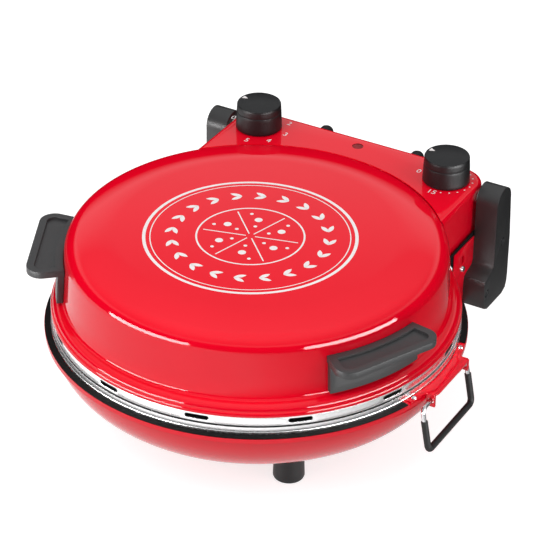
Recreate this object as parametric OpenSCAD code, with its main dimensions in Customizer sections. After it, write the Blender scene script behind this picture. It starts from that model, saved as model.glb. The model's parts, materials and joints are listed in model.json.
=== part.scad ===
// Round electric pizza oven: a bowl on four feet with a baking stone, and a domed
// lid with its own heating element, two grips and a control housing, which swings
// up about two arms behind it. A wire bail hangs from the right-hand side.
// The origin is on the axis of the round body, on the surface that it stands on.
// +Z is up, -Y is the front, +X is the side with the bail.

/* [Round body] */
// Height of the lid's lower edge above the table
brim_z = 109; // [106:0.5:114]
// Distance from the stone's edge to the lid's lower edge
rim_w = 20; // [18:0.5:22]
// Thickness of the painted steel sheet
sheet = 1.2; // [0.8:0.1:1.6]
// Gap between the two steel rings when the lid is closed
seam_gap = 1; // [0.6:0.1:1.4]

/* [Bowl] */
// Reach of the bowl's lip beyond the lid's lower edge
lip_over = 6; // [5:0.5:8]
// Depth of the bowl's lip below the lid's lower edge
lip_drop = 17; // [16:0.5:19]
// Radius of the bowl's side in section
side_r = 60; // [56:1:64]
// Radius of the bowl's floor corner in section
floor_r = 90; // [80:1:100]

/* [Steel rings] */
// Height of the lid's ring
lid_ring_h = 8.5; // [7.5:0.5:9.5]
// Thickness of the rings
ring_t = 1; // [0.8:0.1:1.4]
// Number of vent slots in the lid's ring
slot_count = 13; // [9:1:15]
// Length of a vent slot
slot_l = 20; // [14:1:24]
// Height of a vent slot
slot_h = 4; // [3:0.5:5]

/* [Stone and pan] */
// Radius of the baking stone
stone_r = 155; // [148:1:157]
// Thickness of the baking stone
stone_t = 10; // [8:0.5:12]
// Gap round the stone
stone_gap = 3; // [2:0.5:5]
// Depth of the heater well below the stone
well_d = 20; // [18:0.5:24]
// Thickness of the pan and of the lid's liner
pan_t = 1; // [0.8:0.1:1.4]

/* [Heating elements] */
// Diameter of the tubular elements
heater_d = 6.6; // [6:0.2:8]
// Mean radius of the lower element
heater_r_low = 112; // [100:1:120]
// Mean radius of the upper element
heater_r_up = 118; // [105:1:124]
// Half angle left open at the back for the elements' ends
heater_open = 14; // [12:1:20]

/* [Lid] */
// Height of the lid above its lower edge
lid_h = 69; // [66:0.5:71]
// Width of the brim that flares out below the lid's wall
brim_flare = 10.2; // [8:0.2:12]
// Width of the rounded shoulder
shoulder_w = 12.3; // [10:0.1:14]
// Width of the gently falling margin of the lid's top
crown_w = 32; // [26:1:38]
// Radius of that margin in section
crown_r = 160; // [140:5:200]
// Gap between the lid's top and its liner
liner_gap = 29; // [26:0.5:31]
// Outward draft of the lid's wall from top to bottom
wall_draft = 2.5; // [1.5:0.1:3]
// Height of the flared brim
brim_h = 12.5; // [11:0.5:14]

/* [Control housing] */
// Half width of the housing
box_w = 122.5; // [118:0.5:123]
// Distance of the housing's back wall behind the axis
box_y = 197; // [194:0.5:199]
// Height of the housing's top above the lid's lower edge
box_top = 62.5; // [61:0.5:65]
// Height of the housing's bottom above the lid's lower edge
box_low = 18; // [15:0.5:20]
// Wall of the housing
box_t = 2; // [1.6:0.1:2.4]
// Corner radius of the housing seen from above
box_corner = 22; // [18:1:26]
// Rounding of the housing's top edge
box_round = 6; // [4:0.5:8]
// Reach of the housing's top over the lid's shoulder
box_reach = 3.8; // [3:0.1:4.4]

/* [Knobs] */
// Distance of each knob's axis from the housing's side
knob_side = 28.5; // [26.5:0.5:32]
// Distance of the knobs' axes from the housing's back
knob_back = 30; // [28:0.5:32]
// Diameter of a knob at its foot
knob_d = 41.6; // [38:0.2:43]
// Height of a knob
knob_h = 23.5; // [20:0.5:26]
// Height of the separate cap ring at a knob's top
knob_cap_h = 7.5; // [5:0.5:9]
// Diameter of the control shafts
shaft_d = 6; // [5:0.5:7]
// Diameter of the thermostat's body
thermostat_d = 25; // [22:1:27]
// Depth of the thermostat's body
thermostat_l = 14; // [12:1:18]
// Diameter of the timer's body
timer_d = 30; // [26:1:31]
// Depth of the timer's body
timer_l = 24; // [18:1:26]
// Distance of the indicator lamp from the housing's back
lamp_back = 17; // [14:0.5:22]
// Diameter of the indicator's lens
lens_d = 10; // [8:0.5:12]

/* [Grips] */
// Angle of each grip from the front
grip_angle = 65; // [58:1:66]
// Half of the angle that a grip covers
grip_half = 15; // [13:0.5:17]
// Reach of a grip's outer edge beyond the lid's lower edge
grip_reach = 19; // [14:0.5:21]
// Thickness of the grip's flange
grip_t = 6; // [5:0.5:8]
// Thickness of the grip's mounting plate
plate_t = 5.5; // [4.5:0.5:6]
// Height of the grip's top above the lid's lower edge
grip_top = 46; // [44:0.5:48]
// Corner radius of the flange
grip_corner = 13; // [8:0.5:14]
// Depth of the thumb recess
grip_recess = 2.4; // [1:0.2:3]
// Width of the edge that stands round the recess
grip_edge = 6.5; // [5:0.5:8]
// Angle of each grip screw from the grip's middle
screw_step = 9; // [7:0.5:11]

/* [Hinge] */
// Distance of the hinge axis from the housing's back
hinge_back = 20.5; // [18:0.5:23]
// Height of the hinge axis above the lid's lower edge
hinge_h = 50; // [46:0.5:51]
// Gap between the housing's side and an arm
arm_gap = 3.5; // [3.2:0.1:4.5]
// Width of an arm
arm_w = 20.5; // [18:0.5:23]
// Radius of the arm's rounded head
arm_r = 14; // [13:0.5:15]
// Depth of the arm's foot below the lid's lower edge
arm_drop = 47; // [42:0.5:50]
// Diameter of the hinge pins
pin_d = 8; // [6:0.5:9]
// Angle of the fully open lid
open_angle = 100; // [90:1:110]

/* [Feet] */
// Distance of the feet from the axis
foot_ring = 107; // [98:1:110]
// Diameter of a foot
foot_d = 27; // [22:0.5:30]

/* [Bail] */
// Diameter of the bail's wire
wire_d = 4; // [3.5:0.1:4.4]
// Diameter of the bail's sleeve
sleeve_d = 5.8; // [5.4:0.1:7]
// Half width of the bail over its legs
bail_half = 40.5; // [39.5:0.5:43]
// Length of the bail from its pivots to its grip
bail_drop = 39.5; // [36:0.5:46]
// Half width of the bail's bracket over its ears
ear_half = 32; // [31:0.5:33]
// Distance that the bail has slid forward in its ears
bail_slide = 5.5; // [4:0.5:5.5]
// Angle at which the bail stands off the bowl
bail_tilt = 10.5; // [6:0.5:14]

/* [Hidden] */
$fn = 96;

paint = "#e3001b";
steel = "#c9cbcd";
graphite = "#3b3d3f";
rubber = "#222224";
clay = "#c9ab86";

// Clearances
run = 0.05;        // radial play of a turning pin in its bore
slip = 0.3;        // gap between pieces that pass each other
eps = 0.01;        // overrun of a cut
lap = 0.3;         // length that a bend runs on into its neighbours
step = 0.03;       // drop in radius from a straight piece to a bend

// Round body
brim_r = stone_r + rim_w;
lip_r = brim_r + lip_over;

// Bowl: two arcs in section that meet where the wall slopes by join_slope
join_slope = 32;
lip_z = brim_z - lip_drop;
lip_step = 3;      // the bowl's side lies this far inside its lip
side_c = [lip_r - lip_step - side_r, lip_z + 4];
bowl_join = side_c + side_r * [sin(join_slope), -cos(join_slope)];
floor_c = bowl_join - floor_r * [sin(join_slope), -cos(join_slope)];
bowl_z = floor_c[1] - floor_r;
lip_t = 1.5;
lip_in = 10;       // width of the flat lip
lip_turn = 4;      // height of the lip's down-turned edge

// Base ring, between the bowl's lip and the seam
seam_z = brim_z - lid_ring_h - seam_gap;
ring_flange = 7;   // width of the rings' inward flanges
bead_r = 0.9;      // half-round bead near the foot of the base ring
seal_t = 0.8;      // black seal on the lip, outside the base ring
seal_open = 17;    // half angle that the seal leaves free for the bail's bracket

// Pan and stone
pan_flange_r = brim_r - ring_t;
pan_wall_r = stone_r + stone_gap + pan_t;
pan_rim_z = seam_z - ring_t;
stone_top = pan_rim_z - 3;
stone_z = stone_top - stone_t;
ledge_w = 9;       // width of the ledge that carries the stone
well_r = stone_r - ledge_w;
well_z = stone_z - well_d;

// Heaters
heater_bend = 8;   // radius of the bends before an element's upright ends
heater_end_h = 14; // length of an element's upright ends
bush_r = 6;        // ceramic bushes round the elements' ends
bush_h = 12;
bush_in = bush_h / 3;
heater_lift = bush_in + heater_bend + 0.5;
heater_z_low = well_z + heater_lift;
liner_top = lid_h - liner_gap;
heater_z_up = brim_z + liner_top - pan_t - heater_lift;
clip_w = 10;
clip_t = 1.2;
clip_angles = [-60, 60, 180];

// Lid: flat in the middle, then two arcs in section that run into each other
lid_top_z = brim_z + lid_h;
wall_low_r = brim_r - brim_flare;
wall_top_r = wall_low_r - wall_draft;
crown_a = asin(crown_w / crown_r);
shoulder_r = shoulder_w / (1 - sin(crown_a));
crown_c = [wall_top_r - shoulder_w - crown_w, lid_top_z - crown_r];
shoulder_c = [wall_top_r - shoulder_r, lid_top_z - crown_r + (crown_r - shoulder_r) * cos(crown_a)];
liner_r = brim_r - ring_flange - 3;

// Housing
box_top_z = brim_z + box_top;
box_low_z = brim_z + box_low;
box_front_y = 60;  // where the housing's blank starts, in front of its arc
box_front_r = wall_top_r - box_reach;
boss_r = 9;        // hinge boss inside the housing's side
boss_l = 8;

// Hinge
hinge_y = box_y - hinge_back;
arm_x = box_w + arm_gap;
hinge_z = brim_z + hinge_h;
arm_low_z = brim_z - arm_drop;
arm_front_y = hinge_y - arm_r;
arm_back_y = hinge_y + 17;
foot_front_y = hinge_y - 31;
foot_top_z = brim_z - 12;
arm_edge = 1.6;
pin_head_r = 6.5;
stop_r = 9.2;      // radius of the stop lug's path
stop_d = 4;
stop_depth = 3;
screw_top = [hinge_y + 2, brim_z + 9.4];
screw_low = [hinge_y - 24.5, brim_z - 30.4];
recess_d = 8.4;
recess_depth = 5;
arm_screw_d = 4.2;
bracket_t = 2.5;
bracket_x = arm_x - bracket_t;
bracket_low_z = brim_z - 44;
bracket_high_z = brim_z + 16.5;
bracket_screw = [hinge_y - 35, brim_z - 5.4];

// Knobs
knob_x = box_w - knob_side;
knob_y = box_y - knob_back;
knob_z = box_top_z + 1;
knob_top_r = knob_d / 2 - 1;
seat_h = 9;        // depth of a shaft's seat in its knob
shaft_hole_d = shaft_d + 2;

// Grips
grip_top_z = brim_z + grip_top;
plate_low_z = brim_z + 13.5;
plate_in_r = wall_low_r + slip;
grip_r = brim_r + grip_reach;
lamp_y = box_y - lamp_back;

// Back of the housing and its cover
bumper_x = 46;
bumper_z = brim_z + 51;
bumper_d = 13;
bumper_l = 15;
gland_x = 0;
gland_z = brim_z + 34;
gland_d = 12;
cover_t = 2;
cover_screw = [box_w - 12, box_y - 65];
block_x = 20;      // terminal block, from the middle to its near end
block_size = [44, 14, 12];

// Feet
foot_xy = foot_ring / sqrt(2);
foot_screw_d = 5;
foot_hole_z = 9;   // height of the screw head's seat in a foot

// Bail
bail_x = lip_r + 1.5;
bail_z = lip_z - 4.6;
ear_t = 2;
ear_low = 10;
ear_hole_d = wire_d + 1.8;
bail_bracket_t = 1.5;
bail_bend = 5;     // radius of the bail's bends
sleeve_gap = 6.5;  // bare length at the top of each leg
hook_l = 9;        // how far the hooks reach inside the ears
rivet_a = 14;      // angle of each rivet from the bracket's middle
rivet_r = lip_r - 2.8;
rivet_d = 2.4;

function arc(c, r, a0, a1, n = 10) =
  [for (i = [0:n]) let (a = a0 + (a1 - a0) * i / n) [c[0] + r * cos(a), c[1] + r * sin(a)]];
function reversed(list) = [for (i = [len(list) - 1:-1:0]) list[i]];

// ---- Shared outlines ----

// Section of the bowl's outside, from its axis to its lip
function bowl_curve(t) = concat(
  [[0, bowl_z + t]],
  arc(floor_c, floor_r - t, -90, join_slope - 90, 8),
  [for (p = arc(side_c, side_r - t, join_slope - 90, -7, 14)) if (p[1] < lip_z - lip_t) p]
);

// Section of the lid's outside, from its axis to its lower edge
function lid_curve() = concat(
  [[0, lid_top_z]],
  arc(crown_c, crown_r, 90, 90 - crown_a, 6),
  arc(shoulder_c, shoulder_r, 90 - crown_a - 6, 0, 12),
  [[wall_low_r, brim_z + brim_h]],
  [[wall_low_r + 0.6, brim_z + brim_h - 1.6], [wall_low_r + 1.9, brim_z + brim_h - 2.7]],
  arc([wall_low_r + 2.2, brim_z + brim_h - 9.7], 7, 82, 28, 6),
  [[brim_r - 1.6, brim_z + 3.6], [brim_r - 0.5, brim_z + 3.1], [brim_r, brim_z + 2.1], [brim_r, brim_z]]
);

module lid_volume(grow = 0) {
  rotate_extrude($fn = 180)
    polygon(concat([for (p = lid_curve()) [p[0] + (p[0] > 0 ? grow : 0), p[1] + grow]], [[0, brim_z]]));
}

module bowl_volume() {
  rotate_extrude($fn = 180)
    polygon(concat(bowl_curve(0), [[0, lip_z]]));
}

module ring_band(r_in, r_out, z, h) {
  rotate_extrude($fn = 180)
    translate([r_in, z]) square([r_out - r_in, h]);
}

// A copy at each of the four feet
module at_feet() {
  for (x = [-1, 1], y = [-1, 1])
    translate([x * foot_xy, y * foot_xy, 0]) children();
}

// A copy on each side
module both_sides() {
  children();
  mirror([1, 0, 0]) children();
}

// ---- Base ----

module base_bowl() {
  color(paint)
    difference() {
      rotate_extrude($fn = 180)
        union() {
          polygon(concat(bowl_curve(0), [[lip_r - 2.5, lip_z - eps], [lip_r - 2.5 - sheet, lip_z - eps]],
            reversed(bowl_curve(sheet))));
          translate([lip_r - lip_in, lip_z - lip_t]) square([lip_in, lip_t]);
          translate([lip_r - lip_t, lip_z - lip_turn]) square([lip_t, lip_turn]);
        }
      at_feet() translate([0, 0, bowl_z - 5]) cylinder(d = foot_screw_d + 0.4, h = 12);
      rivet_places() translate([0, 0, -lip_t - 1]) cylinder(d = rivet_d + 2 * run, h = lip_t + 2, $fn = 32);
      // Air slots in the floor
      for (a = [0:45:315])
        rotate(a) translate([45, -2, bowl_z - 5]) cube([22, 4, 12]);
    }
}

module base_ring() {
  color(steel)
    rotate_extrude($fn = 180)
      union() {
        translate([brim_r - ring_t, lip_z]) square([ring_t, seam_z - lip_z]);
        translate([brim_r - ring_flange, seam_z - ring_t]) square([ring_flange, ring_t]);
        translate([brim_r - ring_t / 2, lip_z + 2.6]) circle(r = bead_r, $fn = 24);
      }
}

// Black seal on the lip, open where the bail's bracket lies
module lip_seal() {
  color(rubber)
    rotate(seal_open)
      rotate_extrude(angle = 360 - 2 * seal_open, $fn = 180)
        translate([brim_r + slip, lip_z]) square([lip_over - 2 * slip, seal_t]);
}

module inner_pan() {
  color(steel)
    difference() {
      rotate_extrude($fn = 180)
        polygon([
          [pan_flange_r, pan_rim_z], [pan_flange_r, pan_rim_z - pan_t],
          [pan_wall_r, pan_rim_z - pan_t], [pan_wall_r, stone_z - pan_t],
          [well_r + pan_t, stone_z - pan_t], [well_r - 4 + pan_t, well_z - pan_t],
          [0, well_z - pan_t], [0, well_z],
          [well_r - 4, well_z], [well_r, stone_z],
          [pan_wall_r - pan_t, stone_z], [pan_wall_r - pan_t, pan_rim_z]
        ]);
      heater_ends(heater_r_low) translate([0, 0, well_z - 5]) cylinder(r = bush_r, h = 10);
    }
}

module pizza_stone() {
  color(clay)
    rotate_extrude($fn = 180)
      polygon([
        [0, stone_z], [stone_r - 1.5, stone_z], [stone_r, stone_z + 1.5],
        [stone_r, stone_top - 1.5], [stone_r - 1.5, stone_top], [0, stone_top]
      ]);
}

// A copy at each upright end of an element of mean radius r
module heater_ends(r) {
  for (s = [-1, 1])
    rotate(90 + s * heater_open) translate([r, -s * heater_bend, 0]) children();
}

// Bent rod in the YZ plane about its own centre, from angle a to a + span, which
// runs on by lap at both ends into the pieces that it joins
module bend(radius, d, a, span) {
  more = lap / radius * 180 / PI;
  rotate([90, 0, 90]) rotate(a - more)
    rotate_extrude(angle = span + 2 * more)
      translate([radius, 0]) circle(d = d - 2 * step, $fn = 48);
}

// Tubular element: an open ring with two upright ends, dir is -1 down or +1 up
module heater(r, z, dir) {
  translate([0, 0, z])
    rotate(90 + heater_open)
      rotate_extrude(angle = 360 - 2 * heater_open, $fn = 180)
        translate([r, 0]) circle(d = heater_d, $fn = 48);
  for (s = [-1, 1])
    rotate(90 + s * heater_open)
      translate([r, 0, z + dir * heater_bend])
        bend(heater_bend, heater_d, dir > 0 ? (s > 0 ? 180 : 270) : (s > 0 ? 90 : 0), 90);
  heater_ends(r)
    translate([0, 0, dir > 0 ? z + heater_bend : z - heater_bend - heater_end_h])
      cylinder(d = heater_d, h = heater_end_h, $fn = 48);
}

// Strap clips that carry an element of radius r at height z from the sheet at height from_z
module clips(r, z, from_z) {
  low = min(z, from_z);
  high = max(z, from_z);
  up = from_z > z;
  for (a = clip_angles)
    rotate(a - 90) translate([r, 0, 0])
      difference() {
        union() {
          translate([-heater_d / 2 - clip_t, -clip_w / 2, up ? z - heater_d / 2 - clip_t : low])
            cube([heater_d + 2 * clip_t, clip_w, high - low + heater_d / 2 + clip_t]);
          translate([-heater_d / 2 - 8, -clip_w / 2, up ? high - clip_t : low])
            cube([heater_d + 16, clip_w, clip_t]);
        }
        translate([0, 0, z]) rotate([90, 0, 0])
          cylinder(d = heater_d + 6 * run, h = clip_w + 2, center = true, $fn = 48);
        translate([-heater_d / 2, -clip_w, up ? z : low + clip_t])
          cube([heater_d, 2 * clip_w, high - low - clip_t]);
      }
}

module lower_element() {
  color(graphite) heater(heater_r_low, heater_z_low, -1);
}

module lower_element_clips() {
  color(steel) clips(heater_r_low, heater_z_low, well_z);
}

// Ceramic bush with a collar, on the sheet at height z
module bushes(r, z, dir) {
  heater_ends(r)
    translate([0, 0, z])
      mirror([0, 0, dir < 0 ? 1 : 0])
        difference() {
          union() {
            translate([0, 0, -bush_in]) cylinder(r = bush_r - slip, h = bush_h);
            translate([0, 0, pan_t]) cylinder(r = bush_r + 2, h = 2);
          }
          translate([0, 0, -bush_h]) cylinder(d = heater_d + 2 * run, h = 3 * bush_h);
        }
}

module lower_terminals() {
  color("white") bushes(heater_r_low, well_z, -1);
}

module rubber_feet() {
  color(rubber)
    difference() {
      at_feet()
        difference() {
          rotate_extrude()
            polygon([
              [0, 0], [foot_d / 2 - 2, 0], [foot_d / 2 - 0.6, 0.6], [foot_d / 2, 2],
              [foot_d / 2 - 1.2, bowl_z + 6], [0, bowl_z + 6]
            ]);
          translate([0, 0, -1]) cylinder(d = 11, h = foot_hole_z + 1);
          cylinder(d = foot_screw_d + 0.4, h = bowl_z + 10);
        }
      bowl_volume();
    }
}

module foot_screws() {
  color(steel)
    at_feet() {
      translate([0, 0, foot_hole_z - 3]) cylinder(d = 9.5, h = 3);
      translate([0, 0, foot_hole_z - eps]) cylinder(d = foot_screw_d, h = bowl_z + 8 - foot_hole_z);
      translate([0, 0, bowl_z + sheet + 1.2]) cylinder(d = 9, h = 4, $fn = 6);
    }
}

// ---- Hinge arms ----

// Plate that is welded to the bowl and carries an arm
module bracket_plate() {
  difference() {
    union() {
      translate([bracket_x, 0, 0]) rotate([90, 0, 90])
        linear_extrude(bracket_t)
          difference() {
            polygon([
              [110, lip_z - 4], [120, lip_z + 8], [120, bracket_high_z - 3], [123, bracket_high_z],
              [arm_back_y - 14, bracket_high_z], [arm_back_y - 4, bracket_high_z - 8],
              [arm_back_y - 4, bracket_low_z + 8], [arm_back_y - 12, bracket_low_z], [105, bracket_low_z]
            ]);
            // Slot above the bracket's own screw
            translate(bracket_screw + [-2, 5]) square([4, 8]);
          }
      // Stiffening flange turned inward along the plate's lower edge
      translate([bracket_x - 9, 108, bracket_low_z]) cube([9 + eps, arm_back_y - 12 - 108, bracket_t]);
    }
    bowl_volume();
    ring_band(0, lip_r + slip, lip_z - lip_turn - slip, lip_turn + 2 * slip + seal_t);
    ring_band(0, brim_r + bead_r + slip, lip_z, 60);
    for (s = [screw_top, screw_low])
      translate([bracket_x - 1, s[0], s[1]]) rotate([0, 90, 0]) cylinder(d = arm_screw_d + 0.2, h = 10);
    translate([bracket_x - 1, bracket_screw[0], bracket_screw[1]]) rotate([0, 90, 0])
      cylinder(d = 3.2, h = 10, $fn = 32);
  }
}

module hinge_bracket_right() {
  color(paint) bracket_plate();
}

module hinge_bracket_left() {
  color(paint) mirror([1, 0, 0]) bracket_plate();
}

module arm_outline() {
  union() {
    translate([hinge_y, hinge_z]) circle(r = arm_r);
    polygon([
      [arm_front_y + 0.1, hinge_z + 1], [arm_front_y + 0.1, foot_top_z + 6], [arm_front_y - 1.5, foot_top_z + 2],
      [arm_front_y - 6, foot_top_z], [foot_front_y + 5, foot_top_z - 1.5],
      [foot_front_y + 1.2, foot_top_z - 4], [foot_front_y, foot_top_z - 9],
      [foot_front_y, arm_low_z + 10], [foot_front_y + 2, arm_low_z + 3], [foot_front_y + 8, arm_low_z],
      [arm_back_y - 10, arm_low_z], [arm_back_y - 3, arm_low_z + 3], [arm_back_y - 0.6, arm_low_z + 9],
      [arm_back_y, arm_low_z + 16],
      [arm_back_y, brim_z + 10], [hinge_y + arm_r * cos(12), hinge_z + arm_r * sin(12)],
      [hinge_y, hinge_z + 1]
    ]);
  }
}

module arm() {
  difference() {
    translate([arm_x, 0, 0]) rotate([90, 0, 90])
      linear_extrude(arm_w) arm_outline();
    // Pin bore and its counterbore on the outside stay hidden behind a blind face
    translate([arm_x - 1, hinge_y, hinge_z]) rotate([0, 90, 0]) cylinder(d = pin_d, h = arm_w - 4);
    // Arc groove for the housing's stop lug
    translate([arm_x - eps, hinge_y, hinge_z]) rotate([0, 90, 0])
      stop_groove();
    for (s = [screw_top, screw_low])
      translate([arm_x, s[0], s[1]]) rotate([0, 90, 0]) {
        translate([0, 0, arm_w - recess_depth]) cylinder(d = recess_d, h = recess_depth + 1);
        translate([0, 0, -1]) cylinder(d = arm_screw_d + 0.2, h = arm_w);
      }
  }
}

// Groove that the stop lug travels in, from closed to fully open
module stop_groove() {
  w = stop_d + 2 * slip;
  over = asin((stop_d / 2 + slip) / stop_r) + 1;
  rotate(-open_angle - over)
    rotate_extrude(angle = open_angle + 2 * over)
      translate([stop_r - w / 2, 0]) square([w, stop_depth + slip]);
}

module hinge_arm_right() {
  color(graphite) arm();
}

module hinge_arm_left() {
  color(graphite) mirror([1, 0, 0]) arm();
}

module arm_screws() {
  color(steel)
    both_sides()
      for (s = [screw_top, screw_low])
        translate([bracket_x - 4, s[0], s[1]]) rotate([0, 90, 0]) {
          cylinder(d = arm_screw_d, h = 4 + bracket_t + arm_w - recess_depth + eps);
          translate([0, 0, 4 + bracket_t + arm_w - recess_depth]) cylinder(d = 7.4, h = 2.4);
          translate([0, 0, 0.8]) cylinder(d = 8, h = 3.2, $fn = 6);
        }
  // One more through each bracket alone, in front of the arm
  color(steel)
    both_sides()
      translate([bracket_x, bracket_screw[0], bracket_screw[1]]) rotate([0, 90, 0]) {
        translate([0, 0, -3]) cylinder(d = 3, h = bracket_t + 3 + eps, $fn = 32);
        translate([0, 0, bracket_t]) cylinder(d1 = 5.6, d2 = 4.6, h = 1.6, $fn = 32);
        translate([0, 0, -2.4]) cylinder(d = 6, h = 2.4, $fn = 6);
      }
}

module hinge_pins() {
  color(steel)
    both_sides()
      translate([0, hinge_y, hinge_z]) rotate([0, 90, 0]) {
        translate([0, 0, box_w - boss_l]) cylinder(d = pin_d, h = boss_l + arm_x - box_w + arm_w - 5);
        translate([0, 0, box_w - boss_l - 2.5]) cylinder(r = pin_head_r, h = 2.2);
        translate([0, 0, box_w - boss_l - 0.4]) cylinder(d = pin_d, h = 1);
      }
}

// ---- Bail ----

// Places of the bracket's rivets on the bowl's lip
module rivet_places() {
  for (s = [-1, 1]) rotate(s * rivet_a) translate([rivet_r, 0, lip_z]) children();
}

// Red plate on the bowl's lip with an ear turned down at each end and a tab beyond it
module bail_bracket() {
  reach = bail_x + 5;
  color(paint)
    difference() {
      translate([0, 0, lip_z]) union() {
        difference() {
          linear_extrude(bail_bracket_t)
            union() {
              polygon([[brim_r - 12, -ear_half], [reach - 2, -ear_half], [reach, -ear_half + 6],
                [reach, ear_half - 6], [reach - 2, ear_half], [brim_r - 12, ear_half]]);
              intersection() {
                circle(r = lip_r - slip, $fn = 180);
                polygon([[0, 0], 300 * [cos(seal_open - 1), -sin(seal_open - 1)],
                  300 * [cos(seal_open - 1), sin(seal_open - 1)]]);
              }
            }
          translate([0, 0, -1]) cylinder(r = brim_r + slip, h = 4, $fn = 180);
        }
        for (s = [-1, 1])
          translate([lip_r - 3, s > 0 ? ear_half - ear_t : -ear_half, -ear_low])
            cube([reach - lip_r + 2, ear_t, ear_low + bail_bracket_t / 2]);
      }
      translate([0, 0, lip_z - 20]) cylinder(r = lip_r + slip, h = 20, $fn = 180);
      translate([bail_x, -60, bail_z]) rotate([-90, 0, 0]) cylinder(d = ear_hole_d, h = 120, $fn = 48);
      rivet_places() translate([0, 0, -1]) cylinder(d = rivet_d + 2 * run, h = 4, $fn = 32);
    }
}

module bail_rivets() {
  color(steel)
    rivet_places() {
      translate([0, 0, bail_bracket_t]) cylinder(d1 = 4.4, d2 = 3.2, h = 1.2, $fn = 32);
      translate([0, 0, -lip_t - eps]) cylinder(d = rivet_d, h = lip_t + bail_bracket_t + 2 * eps, $fn = 32);
    }
}

// The bail's path in its own plane: the hooks through the ears, two legs and the grip
// across the bottom
module bail_rod(d, hooks) {
  leg = bail_drop - 2 * bail_bend;
  flat = bail_half - bail_bend;
  for (s = [0, 1])
    mirror([0, s, 0]) {
      if (hooks) {
        translate([0, ear_half - hook_l, 0]) rotate([-90, 0, 0])
          cylinder(d = d, h = flat - ear_half + hook_l, $fn = 48);
        translate([0, flat, -bail_bend]) bend(bail_bend, d, 0, 90);
      }
      translate([0, bail_half, bail_bend - bail_drop])
        cylinder(d = d, h = hooks ? leg : leg - sleeve_gap, $fn = 48);
      translate([0, flat, bail_bend - bail_drop]) bend(bail_bend, d, -90, 90);
    }
  translate([0, -flat, -bail_drop]) rotate([-90, 0, 0]) cylinder(d = d, h = 2 * flat, $fn = 48);
}

// From the bail's own plane to its place in the ears, tilted off the bowl
module bail_place() {
  translate([bail_x, -bail_slide, bail_z]) rotate([0, -bail_tilt, 0]) children();
}

module bail_wire() {
  color(steel) bail_place() bail_rod(wire_d, true);
}

// Sleeve over the grip and most of both legs
module bail_sleeve() {
  color(rubber)
    bail_place()
      difference() {
        bail_rod(sleeve_d, false);
        bail_rod(wire_d + 3 * step, true);
      }
}

// ---- Lid ----

module lid_shell() {
  curve = lid_curve();
  inside = [for (p = curve) [max(0, p[0] - sheet), max(brim_z, p[1] - sheet)]];
  color(paint)
    difference() {
      rotate_extrude($fn = 180)
        polygon(concat(curve, reversed(inside)));
      // Way through to the housing for the wiring and the element's ends
      translate([0, 150, brim_z + 34]) rotate([-90, 0, 0]) cylinder(r = 9, h = 30);
      // Screws of the grips
      grip_places() cylinder(d = 4.4, h = 20, center = true);
      // Screws of the housing
      for (s = [-1, 1])
        rotate(90 + s * 32) translate([wall_low_r - 6, 0, brim_z + 30]) rotate([0, 90, 0]) cylinder(d = 4.4, h = 12);
    }
}

// Axes of the grips' screws, pointing outward through the wall
module grip_places() {
  for (s = [-1, 1], d = [-screw_step, screw_step])
    rotate(s * grip_angle - 90 + d)
      translate([wall_low_r - 1, 0, brim_z + 30]) rotate([0, 90, 0]) children();
}

module slot_cut() {
  rotate([0, 90, 0]) {
    translate([-slot_h / 2, -slot_l / 2 + slot_h / 2, 0]) cube([slot_h, slot_l - slot_h, 12]);
    for (s = [-1, 1])
      translate([0, s * (slot_l - slot_h) / 2, 0]) cylinder(d = slot_h, h = 12, $fn = 24);
  }
}

module lid_ring() {
  color(steel)
    difference() {
      rotate_extrude($fn = 180)
        union() {
          translate([brim_r - 1 - ring_t, brim_z - lid_ring_h]) square([ring_t, lid_ring_h]);
          translate([brim_r - 1 - ring_flange, brim_z - ring_t]) square([ring_flange, ring_t]);
        }
      for (i = [0:slot_count - 1])
        rotate(90 + i * 360 / slot_count)
          translate([brim_r - 6, 0, brim_z - lid_ring_h / 2]) slot_cut();
    }
}

module lid_liner() {
  top = brim_z + liner_top;
  color(steel)
    difference() {
      rotate_extrude($fn = 180)
        polygon([
          [brim_r - 2 - ring_t, brim_z - ring_t], [brim_r - 2 - ring_t, brim_z - ring_t - pan_t],
          [liner_r, brim_z - ring_t - pan_t], [liner_r - 8, top - 12], [liner_r - 20, top - pan_t],
          [0, top - pan_t], [0, top], [liner_r - 19.5, top], [liner_r - 7, top - 12 + pan_t],
          [liner_r + pan_t, brim_z - ring_t]
        ]);
      heater_ends(heater_r_up) translate([0, 0, top - 5]) cylinder(r = bush_r, h = 10);
    }
}

module upper_element() {
  color(graphite)
    heater(heater_r_up, heater_z_up, 1);
}

module upper_element_clips() {
  color(steel) clips(heater_r_up, heater_z_up, brim_z + liner_top - pan_t);
}

module upper_terminals() {
  color("white") bushes(heater_r_up, brim_z + liner_top - pan_t, 1);
}

// Radius of the lid's wall at height z
function wall_r(z) = wall_top_r + wall_draft * (shoulder_c[1] - z) / (shoulder_c[1] - brim_z - brim_h);

// Outline of a grip's flange seen from above, about the +X direction
module grip_outline(inset = 0) {
  intersection() {
    difference() {
      circle(r = grip_r - inset, $fn = 180);
      circle(r = wall_r(grip_top_z - grip_t) + slip + inset, $fn = 180);
    }
    hull() {
      for (s = [-1, 1]) {
        rotate(s * grip_half) translate([150, -s * inset]) circle(r = 0.5, $fn = 16);
        rotate(s * (grip_half - 4)) translate([grip_r - grip_corner, s])
          circle(r = grip_corner - inset, $fn = 32);
      }
    }
  }
}

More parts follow.
